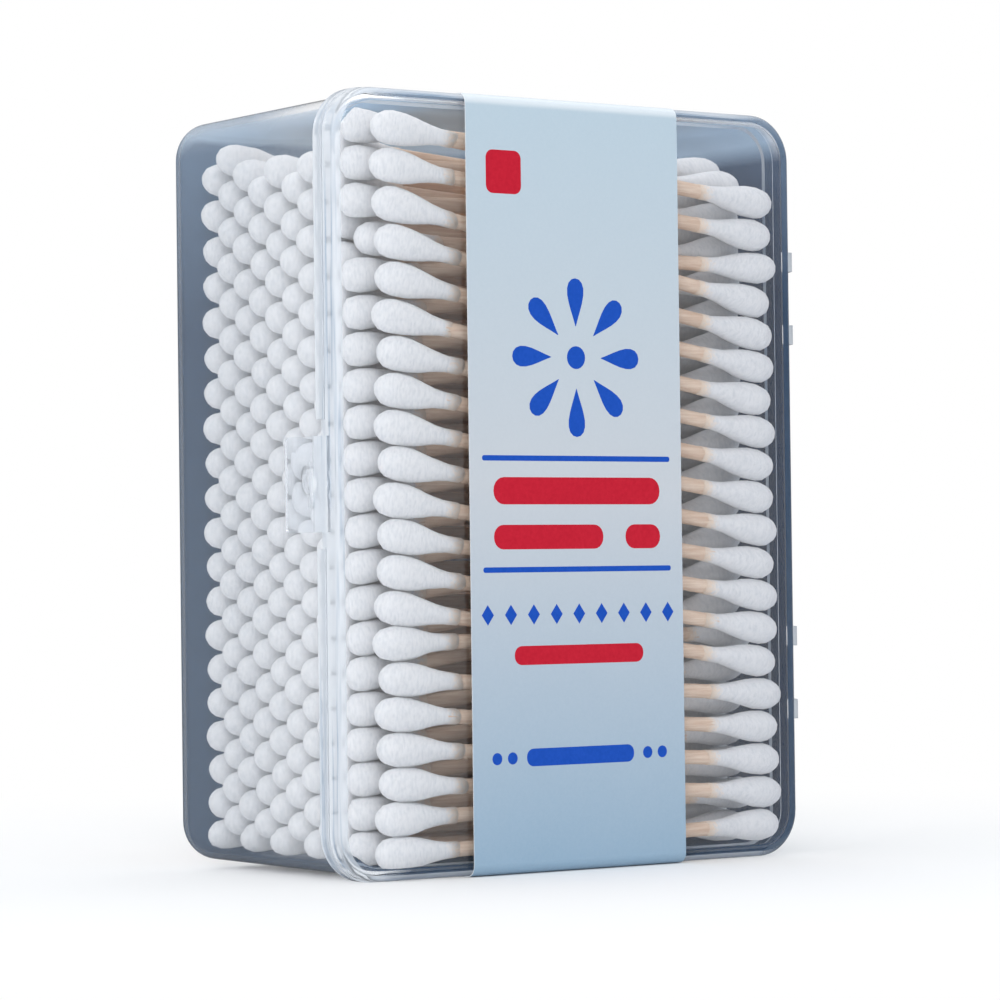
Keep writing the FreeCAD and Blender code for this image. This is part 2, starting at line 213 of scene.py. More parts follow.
def add_node(tree, kind, inputs=None, **settings):
    """New node with its settings; an input is a plain value or a socket to link."""
    made = tree.nodes.new(kind)
    for key, value in settings.items():
        setattr(made, key, value)
    for key, value in (inputs or {}).items():
        socket = made.inputs[key]
        if isinstance(value, bpy.types.NodeSocket):
            tree.links.new(value, socket)
        elif socket.type == "RGBA" and len(value) == 3:
            socket.default_value = (*value, 1.0)
        else:
            socket.default_value = value
    return made


def maths(tree, operation, a, b=0.0, clamp=False):
    """Result of a Math node."""
    return add_node(tree, "ShaderNodeMath", {0: a, 1: b}, operation=operation, use_clamp=clamp).outputs[0]


def times(tree, a, b):
    """Product of two values."""
    return maths(tree, "MULTIPLY", a, b)


def minus(tree, a, b):
    """Difference of two values."""
    return maths(tree, "SUBTRACT", a, b)


def larger(tree, a, b):
    """Larger of two values."""
    return maths(tree, "MAXIMUM", a, b)


def remap(tree, value, near, far, low=0.0, high=1.0, smooth=False):
    """Value taken from the range near to far to the range low to high."""
    kind = "SMOOTHSTEP" if smooth else "LINEAR"
    made = add_node(tree, "ShaderNodeMapRange", {0: value, 1: near, 2: far, 3: low, 4: high},
                    interpolation_type=kind)
    return made.outputs[0]


def part_of(tree, vector, axis):
    """One part of a vector: 0 for X, 1 for Y, 2 for Z."""
    return add_node(tree, "ShaderNodeSeparateXYZ", {0: vector}).outputs[axis]


def object_place(tree):
    """Object coordinates."""
    return add_node(tree, "ShaderNodeTexCoord").outputs["Object"]


def bump(tree, height, strength, distance):
    """Normal of a Bump node."""
    return add_node(tree, "ShaderNodeBump", {
        "Height": height, "Strength": strength, "Distance": distance}).outputs[0]


def principled(tree, inputs):
    """Result of a Principled node."""
    return add_node(tree, "ShaderNodeBsdfPrincipled", inputs).outputs[0]


def mix_shader(tree, factor, a, b):
    """Result of a Mix Shader node."""
    return add_node(tree, "ShaderNodeMixShader", {0: factor, 1: a, 2: b}).outputs[0]


def mix_colour(tree, factor, a, b, blend="MIX"):
    """Result of a colour Mix node."""
    made = tree.nodes.new("ShaderNodeMix")
    made.data_type = "RGBA"
    made.blend_type = blend
    for key, value in ((0, factor), (6, a), (7, b)):
        if isinstance(value, bpy.types.NodeSocket):
            tree.links.new(value, made.inputs[key])
        elif key == 0:
            made.inputs[key].default_value = value
        else:
            made.inputs[key].default_value = (*value[:3], 1.0)
    return made.outputs[2]


def new_material(name, preview):
    """Empty node material and its tree."""
    material = bpy.data.materials.new(name)
    material.use_nodes = True
    material.diffuse_color = (*preview[:3], 1.0)
    material.node_tree.nodes.clear()
    return material, material.node_tree


def close_material(tree, shader):
    """Links the last shader to the material's surface."""
    add_node(tree, "ShaderNodeOutputMaterial", {"Surface": shader})


def new_group(name, inputs, outputs):
    """Empty shader node group with named sockets, its inner tree, and its input node."""
    group = bpy.data.node_groups.new(name, "ShaderNodeTree")
    for label, kind, default in inputs:
        socket = group.interface.new_socket(name=label, in_out="INPUT", socket_type=kind)
        if default is not None:
            socket.default_value = default
    for label, kind in outputs:
        group.interface.new_socket(name=label, in_out="OUTPUT", socket_type=kind)
    return group, add_node(group, "NodeGroupInput")


def place_group(tree, group, inputs):
    """Group node with its inputs set or linked."""
    made = tree.nodes.new("ShaderNodeGroup")
    made.node_tree = group
    for key, value in inputs.items():
        if isinstance(value, bpy.types.NodeSocket):
            tree.links.new(value, made.inputs[key])
        elif made.inputs[key].type == "RGBA":
            made.inputs[key].default_value = (*value[:3], 1.0)
        else:
            made.inputs[key].default_value = value
    return made


def upright_tint_group():
    """Shared effect: a tint that changes with height, through three colours, with a faint mottle."""
    name = "Upright Tint"
    if name in bpy.data.node_groups:
        return bpy.data.node_groups[name]
    group, source = new_group(
        name,
        [("Low", "NodeSocketFloat", 0.0), ("High", "NodeSocketFloat", 1.0),
         ("Bottom", "NodeSocketColor", None), ("Middle", "NodeSocketColor", None),
         ("Top", "NodeSocketColor", None), ("Mottle", "NodeSocketFloat", 0.0),
         ("Mottle Scale", "NodeSocketFloat", 60.0)],
        [("Color", "NodeSocketColor")])
    given = source.outputs
    place = object_place(group)
    along = remap(group, part_of(group, place, 2), given["Low"], given["High"])
    patch = add_node(group, "ShaderNodeTexNoise", {
        "Vector": place, "Scale": given["Mottle Scale"], "Detail": 3.0}).outputs[0]
    shift = times(group, minus(group, patch, 0.5), given["Mottle"])
    t = maths(group, "ADD", along, shift, clamp=True)
    lower = maths(group, "MULTIPLY", t, 2.0, clamp=True)
    upper = maths(group, "SUBTRACT", times(group, t, 2.0), 1.0, clamp=True)
    first = mix_colour(group, lower, given["Bottom"], given["Middle"])
    last = mix_colour(group, upper, first, given["Top"])
    add_node(group, "NodeGroupOutput", {"Color": last})
    return group


def fine_grain_group():
    """Shared effect: fine grain stretched along one direction, as a mask."""
    name = "Fine Grain"
    if name in bpy.data.node_groups:
        return bpy.data.node_groups[name]
    group, source = new_group(
        name,
        [("Vector", "NodeSocketVector", None), ("Stretch", "NodeSocketVector", (1.0, 1.0, 1.0)),
         ("Scale", "NodeSocketFloat", 500.0), ("Detail", "NodeSocketFloat", 4.0)],
        [("Mask", "NodeSocketFloat")])
    given = source.outputs
    stretched = add_node(group, "ShaderNodeVectorMath", {0: given["Vector"], 1: given["Stretch"]},
                         operation="MULTIPLY").outputs[0]
    noise = add_node(group, "ShaderNodeTexNoise", {
        "Vector": stretched, "Scale": given["Scale"], "Detail": given["Detail"], "Roughness": 0.6})
    add_node(group, "NodeGroupOutput", {"Mask": noise.outputs[0]})
    return group


def grain(tree, vector, stretch, scale, detail):
    """Mask of the shared fine grain."""
    inputs = {"Vector": vector, "Stretch": stretch, "Scale": scale, "Detail": detail}
    return place_group(tree, fine_grain_group(), inputs).outputs["Mask"]


def place_share(tree, axis, near, far, low=0.0, high=1.0):
    """Value that goes from low to high between two places along an axis: 0 for X, 1 for Y, 2 for Z."""
    return remap(tree, part_of(tree, object_place(tree), axis), near, far, low, high)


def normal_part(tree, axis, sign):
    """How much a face looks along an axis, 0 to 1."""
    normal = add_node(tree, "ShaderNodeTexCoord").outputs["Normal"]
    return maths(tree, "MULTIPLY", part_of(tree, normal, axis), float(sign), clamp=True)


def plastic_shader(tree, settings):
    """Clear polystyrene with faint moulding flow on its surface, with painted shade that makes it a
    little greyer towards the hinges.
    """
    tint = mix_colour(tree, place_share(tree, 0, 5 * MM, 26 * MM), settings.tint, settings.hinge_side_painted_shade)
    flow = grain(tree, object_place(tree), (1.0, 0.6, 0.25), 90.0, 1.0)
    return principled(tree, {
        "Base Color": tint, "Roughness": settings.roughness, "IOR": settings.ior,
        "Transmission Weight": 1.0, "Normal": bump(tree, flow, 0.06, 0.3 * MM)})


def far_wall_painted_shade(tree, settings):
    """Painted shade of a far wall seen across the box: slate blue, paler towards the top, with painted
    light on the ceiling, palest in the lid's ceiling.
    """
    low, high = TRAY_LOW.z, TRAY_HIGH.z
    tint = place_group(tree, upright_tint_group(), {
        "Low": low + 0.45 * (high - low), "High": high, "Bottom": settings.painted_shade_bottom,
        "Middle": settings.painted_shade_middle, "Top": settings.painted_shade_top, "Mottle": 0.2, "Mottle Scale": 60.0})
    # Painted shade over the wall at the hinges, where its face looks across the box
    across = remap(tree, normal_part(tree, 0, -1), 0.3, 0.9)
    painted_wall_shade = mix_colour(tree, across, tint.outputs[0], settings.painted_shade_across, "MULTIPLY")
    # Painted light: the lid's ceiling is painted palest
    in_lid = place_share(tree, 1, TRAY_LOW.y - 1.0 * MM, TRAY_LOW.y, 0.85, 0.0)
    ceiling_with_painted_light = mix_colour(tree, in_lid, settings.ceiling_painted_light, settings.pale_painted_light)
    # Painted light on the ceiling, which is lit from above
    ceiling = remap(tree, normal_part(tree, 2, -1), 0.05, 0.6)
    return principled(tree, {
        "Base Color": mix_colour(tree, ceiling, painted_wall_shade, ceiling_with_painted_light), "Roughness": 0.6,
        "Specular IOR Level": 0.0})


def passing_light(tree, shader):
    """Lets lamp light and light from the swabs pass straight through, less of it at the hinges."""
    path = add_node(tree, "ShaderNodeLightPath").outputs
    passes = larger(tree, path["Is Shadow Ray"], path["Is Diffuse Ray"])
    at_hinges = place_share(tree, 0, TRAY_HIGH.x - 3.6 * MM, TRAY_HIGH.x - 3.2 * MM)
    kept = mix_colour(tree, at_hinges, PASSED_LIGHT, PASSED_AT_HINGES)
    clear = add_node(tree, "ShaderNodeBsdfTransparent", {"Color": kept}).outputs[0]
    return mix_shader(tree, passes, shader, clear)


def two_sided(tree, without, within):
    """One shader seen from without, another from within the plastic, both passed by lamp light."""
    side = add_node(tree, "ShaderNodeNewGeometry").outputs["Backfacing"]
    close_material(tree, passing_light(tree, mix_shader(tree, side, without, within)))


def painted_reflection_shader(tree, settings):
    """Painted reflection: a pale veil with fine painted refraction lines that run along the rim."""
    lines = grain(tree, object_place(tree), (0.03, 1.0, 0.03), 1100.0, 2.0)
    on_rim = place_share(tree, 1, RIM_BACK, RIM_END, 1.0, 0.0)
    in_line = times(tree, remap(tree, lines, 0.5, 0.72), on_rim)
    return principled(tree, {
        "Base Color": mix_colour(tree, in_line, settings.pale_painted_light, settings.painted_refraction_line),
        "Roughness": 0.35, "Specular IOR Level": 0.3})


def outer_plastic():
    """Outside of the clear plastic; seen from within, far walls and foot get the slate blue painted
    shade, and from without the wall at the clasp gets a thin painted light.
    """
    settings = bpy.context.scene.swab_plastic
    material, tree = new_material("clear_plastic_outside_painted_shade", settings.tint)
    clear = plastic_shader(tree, settings)
    # Painted light on the wall at the clasp, brightening the gaps between the heads behind it
    side_painted_light_share = times(tree, normal_part(tree, 0, -1), settings.side_painted_light)
    near = mix_shader(tree, side_painted_light_share, clear, painted_reflection_shader(tree, settings))
    # Painted shade on the tray's edges between these depths, and on its foot past the rim
    deep = place_share(tree, 1, -10 * MM, 5 * MM)
    foot = place_share(tree, 2, TRAY_LOW.z + 2.2 * MM, TRAY_LOW.z + 3.2 * MM, 1.0, 0.0)
    past_rim = place_share(tree, 1, TRAY_LOW.y + 2.4 * MM, TRAY_LOW.y + 5.0 * MM)
    painted_shade_share = times(tree, larger(tree, deep, times(tree, foot, past_rim)), settings.edge_painted_shade)
    far = mix_shader(tree, painted_shade_share, clear, far_wall_painted_shade(tree, settings))
    two_sided(tree, near, far)
    return material


def rim_plastic():
    """Steps of the rim, clasp and hinges: a pale painted reflection from without, slate blue painted
    shade on the far side.
    """
    settings = bpy.context.scene.swab_plastic
    material, tree = new_material("clear_plastic_rim_painted_light", settings.tint)
    clear = plastic_shader(tree, settings)
    # Painted reflection: full on the rim's steps, less on the clasp; faces that look right or down and
    # the hinge ears get little of it
    painted_reflection_share = place_share(tree, 1, RIM_BACK, RIM_END, settings.rim_painted_reflection, settings.clasp_painted_reflection)
    behind = place_share(tree, 1, RIM_BACK, RIM_END, 0.0, 0.7)
    edge = times(tree, behind, minus(tree, 1.0, normal_part(tree, 0, -1)))
    facing = maths(tree, "GREATER_THAN", normal_part(tree, 1, -1), 0.97)
    at_hinges = place_share(tree, 0, TRAY_HIGH.x - 14.15 * MM, TRAY_HIGH.x - 6.15 * MM)
    turned_away = larger(tree, normal_part(tree, 0, 1), times(tree, normal_part(tree, 2, -1), 0.6))
    turned_away = larger(tree, turned_away, times(tree, at_hinges, minus(tree, 1.0, facing)))
    left = minus(tree, 1.0, times(tree, turned_away, 0.9))
    painted_reflection_share = times(tree, larger(tree, painted_reflection_share, edge), left)
    near = mix_shader(tree, painted_reflection_share, clear, painted_reflection_shader(tree, settings))
    # Painted shade on the far side between the clasp and the hinges
    past_clasp = place_share(tree, 0, TRAY_LOW.x + 7.45 * MM, TRAY_LOW.x + 13.45 * MM)
    before_hinges = place_share(tree, 0, TRAY_HIGH.x - 2.3 * MM, TRAY_HIGH.x - 2.1 * MM, 1.0, 0.0)
    painted_shade_share = times(tree, times(tree, past_clasp, before_hinges), settings.edge_painted_shade)
    far = mix_shader(tree, painted_shade_share, clear, far_wall_painted_shade(tree, settings))
    two_sided(tree, near, far)
    return material


def inner_plastic():
    """Inside of the clear plastic: clear from without, with slate blue painted shade where it shows
    across the box.
    """
    settings = bpy.context.scene.swab_plastic
    material, tree = new_material("clear_plastic_inside_painted_shade", settings.painted_shade_top)
    clear = plastic_shader(tree, settings)
    # Painted shade on the far walls, mixed over the clear plastic
    far = mix_shader(tree, settings.painted_shade_strength, clear, far_wall_painted_shade(tree, settings))
    two_sided(tree, far, clear)
    return material


def label_material():
    """Satin coated paper with its printed tint; the cut edges stay pale, and the upper bend carries a
    painted highlight.
    """
    settings = bpy.context.scene.swab_label
    material, tree = new_material("label_paper", settings.middle)
    tint = place_group(tree, upright_tint_group(), {
        "Low": LABEL_LOW.z, "High": LABEL_HIGH.z, "Bottom": settings.bottom,
        "Middle": settings.middle, "Top": settings.top, "Mottle": 0.05, "Mottle Scale": 40.0})
    fibre = grain(tree, object_place(tree), (1.0, 1.0, 1.0), 2600.0, 3.0)
    speckle = mix_colour(tree, times(tree, fibre, 0.12), tint.outputs[0], settings.paper)
    height = part_of(tree, object_place(tree), 2)
    # Painted highlight where the label bends over the lid's rounded top edge
    bend_painted_highlight = remap(tree, height, LABEL_HIGH.z - 1.9 * MM, LABEL_HIGH.z - 1.0 * MM, 0.0, 0.55, smooth=True)
    with_painted_highlight = mix_colour(tree, bend_painted_highlight, speckle, settings.paper)
    normal = add_node(tree, "ShaderNodeTexCoord").outputs["Normal"]
    cut = maths(tree, "GREATER_THAN", maths(tree, "ABSOLUTE", part_of(tree, normal, 0)), 0.7)
    close_material(tree, principled(tree, {
        "Base Color": mix_colour(tree, cut, with_painted_highlight, settings.paper), "Specular IOR Level": 0.4,
        "Roughness": remap(tree, fibre, 0.0, 1.0, 0.3, 0.42),
        "Normal": bump(tree, fibre, 0.08, 0.05 * MM)}))
    return material


def ink_material(name, ink):
    """Printing ink, slightly uneven on the paper."""
    material, tree = new_material(name, ink)
    patches = grain(tree, object_place(tree), (1.0, 1.0, 1.0), 1800.0, 2.0)
    lighter = [min(1.0, v * 1.25 + 0.01) for v in ink]
    close_material(tree, principled(tree, {
        "Base Color": mix_colour(tree, patches, ink, lighter), "Roughness": 0.45,
        "Specular IOR Level": 0.2}))
    return material


def cotton_material():
    """Wound cotton: fine fibres round the head, thinning out over the wood at its end."""
    settings = bpy.context.scene.swab_sizes
    material, tree = new_material("wound_cotton", settings.cotton)
    wrap = add_node(tree, "ShaderNodeAttribute", attribute_name="wrap").outputs["Vector"]
    along = add_node(tree, "ShaderNodeAttribute", attribute_name="along").outputs["Fac"]
    slant = add_node(tree, "ShaderNodeVectorRotate", {
        "Vector": wrap, "Axis": (0.0, 0.0, 1.0), "Angle": 0.6})
    wound = grain(tree, slant.outputs[0], (1.0, 0.3, 0.3), 3200.0, 3.0)
    fluff = grain(tree, wrap, (1.0, 1.0, 1.0), 2300.0, 3.0)
    height = maths(tree, "ADD", times(tree, wound, 0.75), times(tree, fluff, 0.25))
    white = mix_colour(tree, remap(tree, height, 0.34, 0.56), settings.cotton_shade, settings.cotton)
    thin = maths(tree, "ADD", along, times(tree, minus(tree, fluff, 0.5), 0.3))
    bare = remap(tree, thin, 0.82, 1.0, smooth=True)
    close_material(tree, principled(tree, {
        "Base Color": mix_colour(tree, bare, white, settings.wood_light), "Roughness": 0.95,
        "Specular IOR Level": 0.08, "Normal": bump(tree, height, 0.45, 0.1 * MM),
        "Sheen Weight": 0.25, "Sheen Roughness": 0.5, "Subsurface Weight": 0.3,
        "Subsurface Scale": 0.8 * MM, "Subsurface Radius": (1.0, 0.95, 0.9)}))
    return material


def wood_material():
    """Bare turned wood with its grain along the stick; each stick has its own tone."""
    settings = bpy.context.scene.swab_sizes
    material, tree = new_material("stick_wood", settings.wood_light)
    fibre = grain(tree, object_place(tree), (0.06, 1.0, 1.0), 2400.0, 4.0)
    tone = add_node(tree, "ShaderNodeAttribute", attribute_name="tone").outputs["Fac"]
    spread = times(tree, remap(tree, fibre, 0.32, 0.68), 0.7)
    mixed = maths(tree, "ADD", spread, times(tree, tone, 0.3), clamp=True)
    close_material(tree, principled(tree, {
        "Base Color": mix_colour(tree, mixed, settings.wood_dark, settings.wood_light),
        "Roughness": 0.62, "Specular IOR Level": 0.3, "Normal": bump(tree, fibre, 0.35, 0.1 * MM)}))
    return material


def link_object(name, mesh):
    """New object in the scene for a mesh."""
    made = bpy.data.objects.new(name, mesh)
    bpy.context.scene.collection.objects.link(made)
    return made


def merged_copy(node):
    """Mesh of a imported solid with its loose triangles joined."""
    work = bmesh.new()
    work.from_mesh(NODES[node].data)
    bmesh.ops.remove_doubles(work, verts=work.verts, dist=NEARLY_SAME)
    return work


def finish_piece(piece, body, slot, *nodes):
    """Puts a finished piece on its body and hides the imported solids it stands for."""
    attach(piece, body)
    if nodes:
        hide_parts(*nodes)


def plastic_side(centre, normal):
    """Which plastic a face of the shells gets: 0 outside, 1 inside, 2 rim, clasp and hinges."""
    low, high = TRAY_LOW, TRAY_HIGH
    heart = (low + high) / 2
    skin, lugs = 0.9 * MM, 2.8 * MM
    within = low.x + skin < centre.x < high.x - lugs and low.z + skin < centre.z < high.z - skin
    lid_front = centre.y < low.y and normal.y > 0.9
    if within and normal.dot(heart - centre) > 0 and not lid_front:
        return 1
    on_rim = centre.y < low.y + 2.2 * MM and (abs(normal.y) < 0.9 or centre.y > low.y - 0.4 * MM)
    on_clasp = centre.x < low.x + 0.8 * MM
    on_hinge = centre.x > high.x - 2.2 * MM
    return 2 if on_rim or on_clasp or on_hinge else 0


def clear_shell(name, node, body, materials):
    """Clear shell of the tray or lid, with its faces told apart into outside, inside and rim."""
    work = merged_copy(node)
    bmesh.ops.dissolve_limit(work, angle_limit=NEARLY_FLAT, verts=work.verts, edges=work.edges)
    for face in work.faces:
        face.material_index = plastic_side(face.calc_center_median(), face.normal)
        face.smooth = True
    for edge in work.edges:
        if len(edge.link_faces) == 2:
            edge.smooth = edge.calc_face_angle(0.0) < SHARP
    mesh = bpy.data.meshes.new(name)
    work.to_mesh(mesh)
    work.free()
    for material in materials:
        mesh.materials.append(material)
    finish_piece(link_object(name, mesh), body, "clear_plastic", node)


class SWABBOX_OT_clear_shells(bpy.types.Operator):
    """Clear tray and clear lid with its clasp and hinge ears."""

    bl_idname = "swab_box.clear_shells"
    bl_label = "Clear Tray and Lid"

    def execute(self, context):
        materials = (outer_plastic(), inner_plastic(), rim_plastic())
        clear_shell("tray_shell", "tray", TRAY_BODY, materials)
        clear_shell("lid_shell", "lid", LID_BODY, materials)
        return {"FINISHED"}


class SWABBOX_OT_label(bpy.types.Operator):
    """Paper label round the lid."""

    bl_idname = "swab_box.label"
    bl_label = "Paper Label"

    def execute(self, context):
        material = label_material()
        mesh = NODES["label"].data
        if mesh.materials:
            for i in range(len(mesh.materials)):
                mesh.materials[i] = material
        else:
            mesh.materials.append(material)
        return {"FINISHED"}


def stick_ends(node):
    """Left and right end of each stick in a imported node, read from its solids."""
    work = merged_copy(node)
    work.verts.ensure_lookup_table()
    seen, ends = set(), []
    for first in work.verts:
        if first.index in seen:
            continue
        island, todo = [], [first]
        seen.add(first.index)
        while todo:
            vert = todo.pop()
            island.append(vert.co.copy())
            for edge in vert.link_edges:
                other = edge.other_vert(vert)
                if other.index not in seen:
                    seen.add(other.index)
                    todo.append(other)
        middle = sum(island, Vector()) / len(island)
        halves = [[co for co in island if co.x < middle.x], [co for co in island if co.x >= middle.x]]
        ends.append([sum(half, Vector()) / len(half) for half in halves])
    work.free()
    return ends


def all_stick_ends():
    """Ends of every stick, from the front layer to the back."""
    return [pair for node in STICK_NODES for pair in stick_ends(node)]


def head_radius_at(settings, x):
    """Radius of the cotton at a distance from the tip."""
    nose, widest, last = settings.head_nose, settings.head_radius, settings.end_radius
    if x < nose:
        return widest * math.sqrt(max(0.0, 1 - ((nose - x) / nose) ** 2))
    part = (x - settings.taper_from) / (settings.taper_to - settings.taper_from)
    part = min(1.0, max(0.0, part))
    return last + (widest - last) * (1 + math.cos(math.pi * part)) / 2


def head_template(settings):
    """One cotton head along +X from its tip, with wrap coordinates for its fibres."""
    nose, body = settings.head_nose, settings.head_length - settings.head_nose
    stations = [nose * (1 - math.cos(math.radians(turn))) for turn in NOSE_TURNS]
    stations += [nose + body * share_of_body for share_of_body in BODY_SHARES]
    work = bmesh.new()
    wrap = work.verts.layers.float_vector.new("wrap")
    tip = work.verts.new((0, 0, 0))
    rings = []
    for x in stations:
        radius = head_radius_at(settings, x)
        ring = []
        for i in range(HEAD_SIDES):
            a = 2 * math.pi * i / HEAD_SIDES
            ring.append(work.verts.new((x, radius * math.cos(a), radius * math.sin(a))))
        rings.append(ring)
    cap = work.verts.new((settings.head_length, 0, 0))
    for i in range(HEAD_SIDES):
        j = (i + 1) % HEAD_SIDES
        work.faces.new((tip, rings[0][j], rings[0][i]))
        for a, b in zip(rings, rings[1:]):
            work.faces.new((a[i], a[j], b[j], b[i]))
        work.faces.new((cap, rings[-1][i], rings[-1][j]))
    for vert in work.verts:
        vert[wrap] = vert.co
    for face in work.faces:
        face.smooth = True
    bmesh.ops.recalc_face_normals(work, faces=work.faces)
    mesh = bpy.data.meshes.new("cotton_head_template")
    work.to_mesh(mesh)
    work.free()
    return bpy.data.objects.new("cotton_head_template", mesh)


def new_geometry_tree(name, inputs):
    """Geometry node tree with named inputs."""
    tree = bpy.data.node_groups.new(name, "GeometryNodeTree")
    tree.interface.new_socket(name="Geometry", in_out="INPUT", socket_type="NodeSocketGeometry")
    for label, kind, default in inputs:
        socket = tree.interface.new_socket(name=label, in_out="INPUT", socket_type=kind)
        if default is not None:
            socket.default_value = default
    tree.interface.new_socket(name="Geometry", in_out="OUTPUT", socket_type="NodeSocketGeometry")
    return tree, add_node(tree, "NodeGroupInput")


def store(tree, geometry, name, kind, value, domain="POINT"):
    """Geometry with a named attribute stored on it."""
    made = add_node(tree, "GeometryNodeStoreNamedAttribute", data_type=kind, domain=domain)
    made.inputs["Name"].default_value = name
    tree.links.new(geometry, made.inputs["Geometry"])
    tree.links.new(value, made.inputs["Value"])
    return made.outputs[0]


def random_value(tree, kind, low, high, seed):
    """Random field with a seed from the tree's input."""
    made = add_node(tree, "FunctionNodeRandomValue", data_type=kind)
    slots = {"FLOAT": (2, 3, 1), "FLOAT_VECTOR": (0, 1, 0)}[kind]
    for index, value in zip(slots[:2], (low, high)):
        if isinstance(value, bpy.types.NodeSocket):
            tree.links.new(value, made.inputs[index])
        else:
            made.inputs[index].default_value = value
    tree.links.new(seed, made.inputs["Seed"])
    return made.outputs[slots[2]]


def end_tree(tree, geometry, material_socket):
    """Realizes, sets the material and closes a geometry tree."""
    real = add_node(tree, "GeometryNodeRealizeInstances", {0: geometry})
    coated = add_node(tree, "GeometryNodeSetMaterial", {
        "Geometry": real.outputs[0], "Material": material_socket})
    add_node(tree, "NodeGroupOutput", {0: coated.outputs[0]})


def named_field(tree, name):
    """Named vector attribute."""
    made = add_node(tree, "GeometryNodeInputNamedAttribute", {"Name": name}, data_type="FLOAT_VECTOR")
    return made.outputs[0]


def scaled(tree, vector, factor):
    """Vector times a value."""
    made = add_node(tree, "ShaderNodeVectorMath", {0: vector, "Scale": factor}, operation="SCALE")
    return made.outputs[0]


def cotton_tree():
    """Heads on points, each unevenly wound in its own way and ragged at its end."""
    tree, source = new_geometry_tree("Cotton Heads", [
        ("Head", "NodeSocketObject", None), ("Lumps", "NodeSocketFloat", 0.1 * MM),
        ("Ragged End", "NodeSocketFloat", 0.7 * MM), ("Head Length", "NodeSocketFloat", 14.3 * MM),
        ("Seed", "NodeSocketInt", HEAD_SEED), ("Material", "NodeSocketMaterial", None)])
    given = source.outputs
    head = add_node(tree, "GeometryNodeObjectInfo", {"Object": given["Head"]}).outputs["Geometry"]
    way = named_field(tree, "way")
    turn = add_node(tree, "FunctionNodeAlignRotationToVector", {"Vector": way}, axis="X").outputs[0]
    heads = add_node(tree, "GeometryNodeInstanceOnPoints", {
        "Points": given["Geometry"], "Instance": head, "Rotation": turn,
        "Scale": named_field(tree, "swell")}).outputs[0]
    offset = random_value(tree, "FLOAT_VECTOR", (-1.0,) * 3, (1.0,) * 3, given["Seed"])
    marked = store(tree, heads, "own", "FLOAT_VECTOR", offset, "INSTANCE")
    real = add_node(tree, "GeometryNodeRealizeInstances", {0: marked}).outputs[0]
    wrap = named_field(tree, "wrap")
    own_wrap = add_node(tree, "ShaderNodeVectorMath", {0: wrap, 1: named_field(tree, "own")},
                        operation="ADD").outputs[0]
    noise = add_node(tree, "ShaderNodeTexNoise", {
        "Vector": own_wrap, "Scale": 260.0, "Detail": 1.5}).outputs[0]
    rise = times(tree, times(tree, minus(tree, noise, 0.56), given["Lumps"]), NOISE_GAIN)
    lumps = scaled(tree, add_node(tree, "GeometryNodeInputNormal").outputs[0], rise)
    part = maths(tree, "DIVIDE", part_of(tree, wrap, 0), given["Head Length"])
    wander = times(tree, times(tree, minus(tree, noise, 0.5), given["Ragged End"]), NOISE_GAIN)
    drift = scaled(tree, way, times(tree, wander, remap(tree, part, 0.86, 1.0)))
    total = add_node(tree, "ShaderNodeVectorMath", {0: lumps, 1: drift}, operation="ADD").outputs[0]
    moved = add_node(tree, "GeometryNodeSetPosition", {"Geometry": real, "Offset": total}).outputs[0]
    tagged = store(tree, moved, "along", "FLOAT", part)
    tagged = store(tree, tagged, "wrap", "FLOAT_VECTOR", own_wrap)
    smooth = add_node(tree, "GeometryNodeSetShadeSmooth", {0: tagged}).outputs[0]
    end_tree(tree, smooth, given["Material"])
    return tree


def stick_tree():
    """Round sticks along edges, each with its own tone."""
    tree, source = new_geometry_tree("Wooden Sticks", [
        ("Radius", "NodeSocketFloat", 1.1 * MM), ("Sides", "NodeSocketInt", STICK_SIDES),
        ("Seed", "NodeSocketInt", STICK_SEED), ("Material", "NodeSocketMaterial", None)])
    given = source.outputs
    curves = add_node(tree, "GeometryNodeMeshToCurve", {0: given["Geometry"]}).outputs[0]
    tone = random_value(tree, "FLOAT", 0.0, 1.0, given["Seed"])
    toned = store(tree, curves, "tone", "FLOAT", tone, "CURVE")
    ring = add_node(tree, "GeometryNodeCurvePrimitiveCircle", {
        "Resolution": given["Sides"], "Radius": given["Radius"]}).outputs[0]
    tubes = add_node(tree, "GeometryNodeCurveToMesh", {
        "Curve": toned, "Profile Curve": ring, "Fill Caps": True}).outputs[0]
    smooth = add_node(tree, "GeometryNodeSetShadeSmooth", {0: tubes}).outputs[0]
    end_tree(tree, smooth, given["Material"])
    return tree


def grown_piece(name, seeds, tree, values):
    """Plain mesh of what a geometry tree makes from a seed mesh."""
    carrier = link_object(name + "_seeds", seeds)
    modifier = carrier.modifiers.new("grow", "NODES")
    modifier.node_group = tree
    identifiers = {i.name: i.identifier for i in tree.interface.items_tree
                   if i.item_type == "SOCKET" and i.in_out == "INPUT"}
    for key, value in values.items():
        modifier[identifiers[key]] = value
    graph = bpy.context.evaluated_depsgraph_get()
    mesh = bpy.data.meshes.new_from_object(carrier.evaluated_get(graph), depsgraph=graph)
    carrier.modifiers.remove(modifier)
    bpy.data.objects.remove(carrier)
    mesh.name = name
    return link_object(name, mesh)


